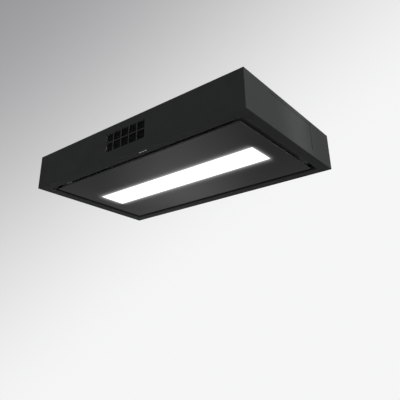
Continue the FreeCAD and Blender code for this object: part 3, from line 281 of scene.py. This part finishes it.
def opal_sheet(name):
    """Lit opal diffuser: white light, a little stronger over the two rows of LEDs, on a fine matt grain."""
    made = Finish(name, Base_Color=grey(0.85), Roughness=0.45, Emission_Color=(0.96, 0.98, 1.0, 1.0))
    across = made.add("SeparateXYZ", Vector=made.place()).outputs["Y"]
    from_row = made.maths("ABSOLUTE", made.maths("SUBTRACT", made.maths("ABSOLUTE", across), LED_ROW))
    light = made.between(from_row, *OPAL_LEVELS, start=0.0, end=LED_ROW)
    made.feed(made.shader.inputs["Emission Strength"], light)
    made.bump(made.noise(size=0.8 * MM, detail=2.0), depth=0.02 * MM)
    return made.material


# ---- finishes: bare metal ----

def galvanised(name):
    """Galvanised sheet: spangles of their own tone and gloss, rolling streaks and cloudy patches."""
    made = Finish(name, Metallic=1.0)
    spangle = made.cells(size=11 * MM, output="Color")
    cloud = made.noise(size=70 * MM, detail=4.0)
    streak = made.noise(size=1.5 * MM, detail=2.0, stretch=(60, 1, 1))
    tone = made.maths("MULTIPLY_ADD", spangle, 0.5, made.maths("MULTIPLY", cloud, 0.5))
    made.tones(tone, grey(0.42, (0.97, 0.99, 1.0)), grey(0.66, (0.98, 1.0, 1.0)))
    made.rough(made.between(spangle, low=0.34, high=0.5, start=0, end=1))
    made.bump(streak, depth=0.01 * MM)
    made.bump(made.cells(size=11 * MM, feature="DISTANCE_TO_EDGE"), depth=0.02 * MM)
    return made.material


def brushed_aluminium(name, level=0.66, stretch=(1, 60, 1)):
    """Aluminium with fine brushing and slightly cloudy anodising."""
    made = Finish(name, Metallic=1.0)
    brushing = made.noise(size=0.5 * MM, detail=3.0, stretch=stretch)
    cloud = made.noise(size=50 * MM, detail=3.0)
    made.tones(brushing, grey(0.85 * level), grey(1.08 * level, (1.0, 1.0, 0.99)))
    made.rough(made.between(cloud, low=0.34, high=0.46))
    made.bump(brushing, depth=0.01 * MM)
    return made.material


def plated_steel(name):
    """Zinc-plated steel with a faint yellow and blue passivation and fine handling scratches."""
    made = Finish(name, Metallic=1.0)
    film = made.noise(size=4 * MM, detail=3.0)
    scratch = made.noise(size=0.25 * MM, detail=2.0, stretch=(20, 1, 6))
    made.tones(film, grey(0.62, (0.94, 0.98, 1.0)), grey(0.68, (1.0, 0.98, 0.9)))
    made.rough(made.between(film, low=0.24, high=0.36))
    made.bump(scratch, depth=0.008 * MM)
    return made.material


def enamelled_copper(name):
    """Enamelled copper wire, darker where the varnish has run."""
    made = Finish(name, Metallic=1.0, Coat_Weight=0.6, Coat_Roughness=0.2)
    varnish = made.noise(size=5 * MM, detail=3.0)
    made.tones(varnish, (0.32, 0.09, 0.03, 1), (0.68, 0.24, 0.09, 1))
    made.rough(made.between(varnish, low=0.25, high=0.4))
    made.bump(made.noise(size=0.6 * MM), depth=0.02 * MM)
    return made.material


# ---- finishes: plastics, rubber and the rest ----

def moulded(name, colour, roughness, texture=0.5, relief=0.02):
    """Moulded plastic with an eroded grain: texture is its size and relief its depth, in millimetres."""
    made = Finish(name, Specular_IOR_Level=0.4)
    flow = made.noise(size=25 * MM, detail=3.0)
    darker = tuple(0.85 * part for part in colour) + (1.0,)
    lighter = tuple(1.1 * part for part in colour) + (1.0,)
    made.tones(flow, darker, lighter)
    made.rough(made.between(flow, low=roughness - 0.04, high=roughness + 0.06))
    made.bump(made.cells(texture * MM), relief * MM)
    return made.material


def foam_strip(name):
    """Black open-cell foam: pits about a millimetre wide, with painted shade darkening each pit towards its
    middle and the rims left lighter.
    """
    made = Finish(name, Roughness=0.95, Specular_IOR_Level=0.15)
    pit = made.cells(size=1.1 * MM)
    # Painted shade: the colour darkens towards each pit's middle, where the bump below sinks it deepest.
    made.tones(pit, grey(0.012), grey(0.05), start=0, end=0.8)
    made.bump(pit, depth=0.4 * MM)
    return made.material


def activated_carbon(name):
    """Matt carbon with grains that catch a little light."""
    made = Finish(name, Specular_IOR_Level=0.2)
    grain = made.cells(size=0.9 * MM, output="Color")
    made.tones(grain, grey(0.004), grey(0.02), start=0.2, end=0.95)
    made.rough(made.between(grain, low=0.55, high=0.95, start=0, end=1))
    made.bump(made.noise(size=0.7 * MM), depth=0.15 * MM)
    return made.material


def circuit_board(name, mask, track):
    """Solder mask over tracks: lines in two directions, broken up by soft patches."""
    made = Finish(name, Roughness=0.3, Coat_Weight=0.3)
    where = made.place()
    lines = []
    for direction in "XY":
        wave = made.add("TexWave", {"bands_direction": direction}, Vector=where, Scale=1 / (14 * MM),
                        Distortion=0.6)
        lines.append(made.between(wave.outputs["Fac"], low=0, high=1, start=0.86, end=0.9))
    patch = made.between(made.noise(size=9 * MM, detail=0.0), low=0, high=1, start=0.49, end=0.51)
    layout = made.mixed(patch, lines[0], lines[1])
    made.colour(made.mixed(layout, mask, track))
    made.bump(layout, depth=0.03 * MM)
    return made.material


def make_finishes():
    """The material of every slot in the record."""
    bottom, _, points = solids_of("light_diffuser")[0]
    low, high = span_of([point for point in points if point.z < bottom.z + LEVEL_GAP])
    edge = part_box("glass_panel")[1]
    return {
        "casing_black": powder_coat("casing_black", level=0.034, roughness=0.34, specular=0.012),
        "grey_sheet": powder_coat("grey_sheet", level=0.26, roughness=0.5, specular=0.3),
        "white_sheet": powder_coat("white_sheet", level=0.72, roughness=0.4, specular=0.5,
                                   tint=(1.0, 1.0, 0.98)),
        "black_glass": black_glass("black_glass", low, high, edge),
        "opal": opal_sheet("opal"),
        "zinc_sheet": galvanised("zinc_sheet"),
        "mesh": brushed_aluminium("mesh", level=0.72, stretch=(3, 3, 1)),
        "filter_frame": brushed_aluminium("filter_frame"),
        "bright_steel": plated_steel("bright_steel"),
        "copper": enamelled_copper("copper"),
        "black_plastic": moulded("black_plastic", (0.04, 0.04, 0.042), roughness=0.45),
        "key_grey": moulded("key_grey", (0.62, 0.63, 0.63), roughness=0.5, texture=0.25, relief=0.008),
        "light_plastic": moulded("light_plastic", (0.62, 0.61, 0.57), roughness=0.4),
        "rubber": moulded("rubber", (0.014, 0.014, 0.014), roughness=0.8, texture=0.7, relief=0.04),
        "foam": foam_strip("foam"),
        "carbon": activated_carbon("carbon"),
        "board_green": circuit_board("board_green", mask=(0.006, 0.06, 0.025, 1), track=(0.02, 0.15, 0.05, 1)),
        "board_white": circuit_board("board_white", mask=(0.7, 0.7, 0.68, 1), track=(0.78, 0.77, 0.72, 1)),
    }


# ---- building pieces ----

def span_of(points):
    """The lowest and highest corners of the points."""
    return [Vector(pick(point[axis] for point in points) for axis in range(3)) for pick in (min, max)]


def solids_of(node):
    """The lowest and highest corners and the points of each separate solid of a CAD node."""
    shape = bmesh.new()
    shape.from_mesh(frame["nodes"][node].data)
    bmesh.ops.remove_doubles(shape, verts=shape.verts, dist=WELD_GAP)
    left, found = set(shape.verts), []
    for seed in shape.verts:
        if seed not in left:
            continue
        left.discard(seed)
        group = [seed]
        for corner in group:
            joined = [edge.other_vert(corner) for edge in corner.link_edges]
            fresh = [other for other in joined if other in left]
            left.difference_update(fresh)
            group.extend(fresh)
        points = [corner.co.copy() for corner in group]
        found.append((*span_of(points), points))
    shape.free()
    return found


def add_piece(name, shape, node, sharp=SHARP_ANGLE):
    """Makes a piece of the shape. It stands for the CAD node, on the node's body and with its finish."""
    bmesh.ops.recalc_face_normals(shape, faces=shape.faces)
    mesh = bpy.data.meshes.new(name)
    shape.to_mesh(mesh)
    shape.free()
    mesh.polygons.foreach_set("use_smooth", [True] * len(mesh.polygons))
    mesh.set_sharp_from_angle(angle=math.radians(sharp))
    slot = slots[node]
    mesh.materials.append(finishes[slot])
    piece = bpy.data.objects.new(name, mesh)
    bpy.context.scene.collection.objects.link(piece)
    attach(piece, frame["nodes"][node]["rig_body"])
    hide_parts(node)
    return piece


def ring(shape, points):
    """New corners at the points."""
    return [shape.verts.new(point) for point in points]


def skin(shape, first, second):
    """Quads between two closed rings of as many points."""
    for index in range(len(first)):
        after = (index + 1) % len(first)
        shape.faces.new((first[index], first[after], second[after], second[index]))


def ease_edges():
    """Small bevels on the sharp edges of sheet and moulded nodes."""
    for width, names in EASED.items():
        for name in names:
            node = frame["nodes"][name]
            node.modifiers.new("weld", "WELD").merge_threshold = WELD_GAP
            eased = node.modifiers.new("eased", "BEVEL")
            eased.width, eased.segments = width, 2
            eased.limit_method, eased.angle_limit = "ANGLE", math.radians(EASE_ANGLE)


# ---- screws ----

def cross_outline():
    """A cross-head recess in head radii: the corners of its four arms and the middles of their sides."""
    quarter = [(CROSS_ARM, -CROSS_HALF), (CROSS_ARM, 0), (CROSS_ARM, CROSS_HALF),
               (CROSS_MIDDLE, CROSS_HALF), (CROSS_HALF, CROSS_HALF), (CROSS_HALF, CROSS_MIDDLE)]
    turns = [Matrix.Rotation(math.radians(90 * step), 2) for step in range(4)]
    return [turn @ Vector(point) for turn in turns for point in quarter]


def add_screw(shape, low, high, points):
    """A pan-head screw with a cross recess and a threaded shank, in the place of the CAD one."""
    centre = (low + high) / 2
    head_radius = (high.x - low.x) / 2
    spread = [((point - centre).xy.length, point.z) for point in points]
    wide = [level for radius, level in spread if radius > 0.9 * head_radius]
    up = 1 if max(wide) > high.z - LEVEL_GAP else -1
    seat, top = (min(wide), high.z) if up > 0 else (max(wide), low.z)
    tip = low.z if up > 0 else high.z
    shank_radius = max(radius for radius, level in spread if abs(level - tip) < LEVEL_GAP)
    head_height = abs(top - seat)
    outline = cross_outline()
    round_way = [point.normalized() for point in outline]

    def loop(directions, radius, level):
        return ring(shape, [(*(centre.xy + radius * way), level) for way in directions])

    loops = [loop(round_way, TIP_TAPER[0] * shank_radius, tip)]
    loops.append(loop(round_way, TIP_TAPER[1] * shank_radius, tip + up * TIP_LENGTH))
    half_turns = int(2 * (abs(seat - tip) - THREAD_PLAIN) / THREAD_PITCH)
    for turn in range(half_turns):
        depth = THREAD_ROOT if turn % 2 else 1.0
        along = THREAD_START + turn * THREAD_PITCH / 2
        loops.append(loop(round_way, depth * shank_radius, tip + up * along))
    loops.append(loop(round_way, THREAD_ROOT * shank_radius, seat))
    for radius, height in HEAD_PROFILE:
        loops.append(loop(round_way, radius * head_radius, seat + up * height * head_height))
    loops.append(loop(outline, head_radius, top))
    loops.append(loop(outline, RECESS_FLOOR * head_radius, top - up * RECESS_DEPTH * head_height))
    for first, second in zip(loops, loops[1:]):
        skin(shape, first, second)
    shape.faces.new(loops[0])
    shape.faces.new(loops[-1])


def make_screws():
    """Detailed screws in the places of the plain ones."""
    for node in ("casing_screws", "blower_screws", "wheel_screws"):
        shape = bmesh.new()
        for low, high, points in solids_of(node):
            add_screw(shape, low, high, points)
        add_piece(f"{node}_cross_head", shape, node)


# ---- grease filters and odour filter ----

def expanded_sheet(shape, low, high, draw):
    """Expanded mesh between two corners: slightly uneven diamonds whose strands tilt like louvres."""
    columns = 2 * round((high.x - low.x) / DIAMOND_LONG)
    rows = 2 * round((high.y - low.y) / DIAMOND_SHORT)
    middle = (low.z + high.z) / 2
    corners = {}

    def corner(column, row):
        column, row = min(max(column, 0), columns), min(max(row, 0), rows)
        if (column, row) not in corners:
            x = low.x + (high.x - low.x) * column / columns
            y = low.y + (high.y - low.y) * row / rows
            if 0 < column < columns and 0 < row < rows:
                x += draw.uniform(-UNEVEN, UNEVEN)
                y += draw.uniform(-UNEVEN, UNEVEN)
            corners[column, row] = shape.verts.new((x, y, middle))
        return corners[column, row]

    for column in range(columns + 1):
        for row in range((column + 1) % 2, rows + 1, 2):
            steps = ((-1, 0), (0, -1), (1, 0), (0, 1))
            around = [corner(column + across, row + along) for across, along in steps]
            outer = [place for index, place in enumerate(around) if place is not around[index - 1]]
            heart = sum((place.co for place in outer), Vector()) / len(outer)
            inner = []
            for place in outer:
                opened = heart.lerp(place.co, STRAND_OPENING)
                beyond = place.co.y - heart.y
                if abs(beyond) > LEVEL_GAP:
                    opened.z += math.copysign(LOUVRE_TILT, beyond)
                inner.append(shape.verts.new(opened))
            skin(shape, outer, inner)


def make_filter_meshes():
    """The expanded aluminium mesh of both grease filters, three sheets each."""
    for side in ("left", "right"):
        draw = random.Random(side)
        shape = bmesh.new()
        for low, high, _ in solids_of(f"filter_mesh_{side}"):
            expanded_sheet(shape, low, high, draw)
        piece = add_piece(f"expanded_mesh_{side}", shape, f"filter_mesh_{side}", STRAND_ANGLE)
        strand = piece.modifiers.new("strand", "SOLIDIFY")
        strand.thickness, strand.offset = STRAND_THICKNESS, 0.0


def make_honeycomb():
    """The carbon core as a honeycomb: a block with hexagonal channels sunk into its front."""
    low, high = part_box("carbon_core")
    rise = HONEYCOMB_PITCH * math.sqrt(3) / 2
    rows = int((high.z - low.z) / rise)
    columns = int((high.x - low.x) / HONEYCOMB_PITCH)
    first_x = (low.x + high.x - (columns - 1) * HONEYCOMB_PITCH) / 2
    first_z = (low.z + high.z - (rows - 1) * rise) / 2
    corners = [(math.sin(math.radians(60 * turn)), math.cos(math.radians(60 * turn))) for turn in range(6)]
    outline, mouth = HONEYCOMB_PITCH / math.sqrt(3), HONEYCOMB_MOUTH * HONEYCOMB_PITCH / math.sqrt(3)
    shape = bmesh.new()
    for row in range(rows):
        for column in range(columns - row % 2):
            x, z = first_x + (column + 0.5 * (row % 2)) * HONEYCOMB_PITCH, first_z + row * rise
            loops = [ring(shape, [(x + radius * across, depth, z + radius * up) for across, up in corners])
                     for radius, depth in ((outline, low.y), (mouth, low.y), (mouth, high.y - HONEYCOMB_BACK))]
            skin(shape, loops[0], loops[1])
            skin(shape, loops[1], loops[2])
            shape.faces.new(loops[2])
    bmesh.ops.remove_doubles(shape, verts=shape.verts, dist=0.01 * MM)
    rim = [edge for edge in shape.edges if edge.is_boundary]
    sides = bmesh.ops.extrude_edge_only(shape, edges=rim)["geom"]
    back = [part for part in sides if isinstance(part, bmesh.types.BMVert)]
    bmesh.ops.translate(shape, verts=back, vec=(0, high.y - low.y, 0))
    rim = [edge for edge in shape.edges if edge.is_boundary]
    bmesh.ops.triangle_fill(shape, edges=rim, use_beauty=True)
    add_piece("carbon_honeycomb", shape, "carbon_core")


# ---- the room ----

def softbox(name, place, aim, size, power, spread, turn):
    """A soft light, size wide and long, that shines from place towards aim and can't be seen itself."""
    data = bpy.data.lights.new(name, "AREA")
    data.shape = "RECTANGLE"
    data.size, data.size_y = size
    data.energy, data.spread = power, math.radians(spread)
    light = bpy.data.objects.new(name, data)
    facing = (Vector(aim) - Vector(place)).to_track_quat("-Z", "Y").to_matrix().to_4x4()
    light.matrix_world = Matrix.Translation(place) @ facing @ Matrix.Rotation(math.radians(turn), 4, "Z")
    light.visible_camera = False
    bpy.context.scene.collection.objects.link(light)


def make_surround():
    """A pale surround that grows lighter along LIGHTER_WAY."""
    world = bpy.data.worlds.new("surround")
    world.use_nodes = True
    bpy.context.scene.world = world
    tree = world.node_tree
    way = tree.nodes.new("ShaderNodeTexCoord")
    along = tree.nodes.new("ShaderNodeVectorMath")
    along.operation = "DOT_PRODUCT"
    along.inputs[1].default_value = LIGHTER_WAY
    share = tree.nodes.new("ShaderNodeMapRange")
    share.interpolation_type = "SMOOTHSTEP"
    share.inputs["From Min"].default_value, share.inputs["From Max"].default_value = SURROUND_RANGE
    tone = tree.nodes.new("ShaderNodeMix")
    tone.data_type = "RGBA"
    ends = [socket for socket in tone.inputs if socket.type == "RGBA"]
    for socket, level in zip(ends, SURROUND_LEVELS):
        socket.default_value = (*level, 1.0)
    tree.links.new(way.outputs["Generated"], along.inputs[0])
    tree.links.new(along.outputs["Value"], share.inputs["Value"])
    tree.links.new(share.outputs["Result"], tone.inputs["Factor"])
    tinted = next(socket for socket in tone.outputs if socket.type == "RGBA")
    tree.links.new(tinted, tree.nodes["Background"].inputs["Color"])


def make_floor():
    """A plain pale floor, well below the hood."""
    mesh = bpy.data.meshes.new("floor")
    shape = bmesh.new()
    bmesh.ops.create_grid(shape, x_segments=1, y_segments=1, size=FLOOR_SIDE / 2)
    shape.to_mesh(mesh)
    shape.free()
    floor = bpy.data.objects.new("floor", mesh)
    floor.location.z = FLOOR_LEVEL
    finish = Finish("floor", Roughness=0.85, Specular_IOR_Level=0.2)
    finish.colour(finish.mixed(finish.noise(size=0.6, detail=5.0), grey(0.78), grey(0.82)))
    mesh.materials.append(finish.material)
    bpy.context.scene.collection.objects.link(floor)


def make_camera():
    """The camera, turned from looking along -Z to its heading, rise and roll."""
    data = bpy.data.cameras.new("camera")
    data.lens, data.sensor_width = CAMERA_LENS, CAMERA_SENSOR
    data.shift_x, data.shift_y = CAMERA_SHIFT
    camera = bpy.data.objects.new("camera", data)
    turn = Matrix.Rotation(math.radians(CAMERA_HEADING), 4, "Z")
    lift = Matrix.Rotation(math.radians(90 + CAMERA_RISE), 4, "X")
    roll = Matrix.Rotation(math.radians(CAMERA_ROLL), 4, "Z")
    camera.matrix_world = Matrix.Translation(CAMERA_PLACE) @ turn @ lift @ roll
    bpy.context.scene.collection.objects.link(camera)
    bpy.context.scene.camera = camera


# ---- the whole scene ----

slots = {name: node.material_slots[0].material.name for name, node in frame["nodes"].items()}
finishes = make_finishes()
for name, node in frame["nodes"].items():
    node.material_slots[0].material = finishes[slots[name]]
ease_edges()
make_screws()
make_filter_meshes()
make_honeycomb()
make_surround()
make_floor()
make_camera()
for name, settings in SOFTBOXES.items():
    softbox(name, *settings)
bpy.context.scene.view_settings.view_transform = "Standard"
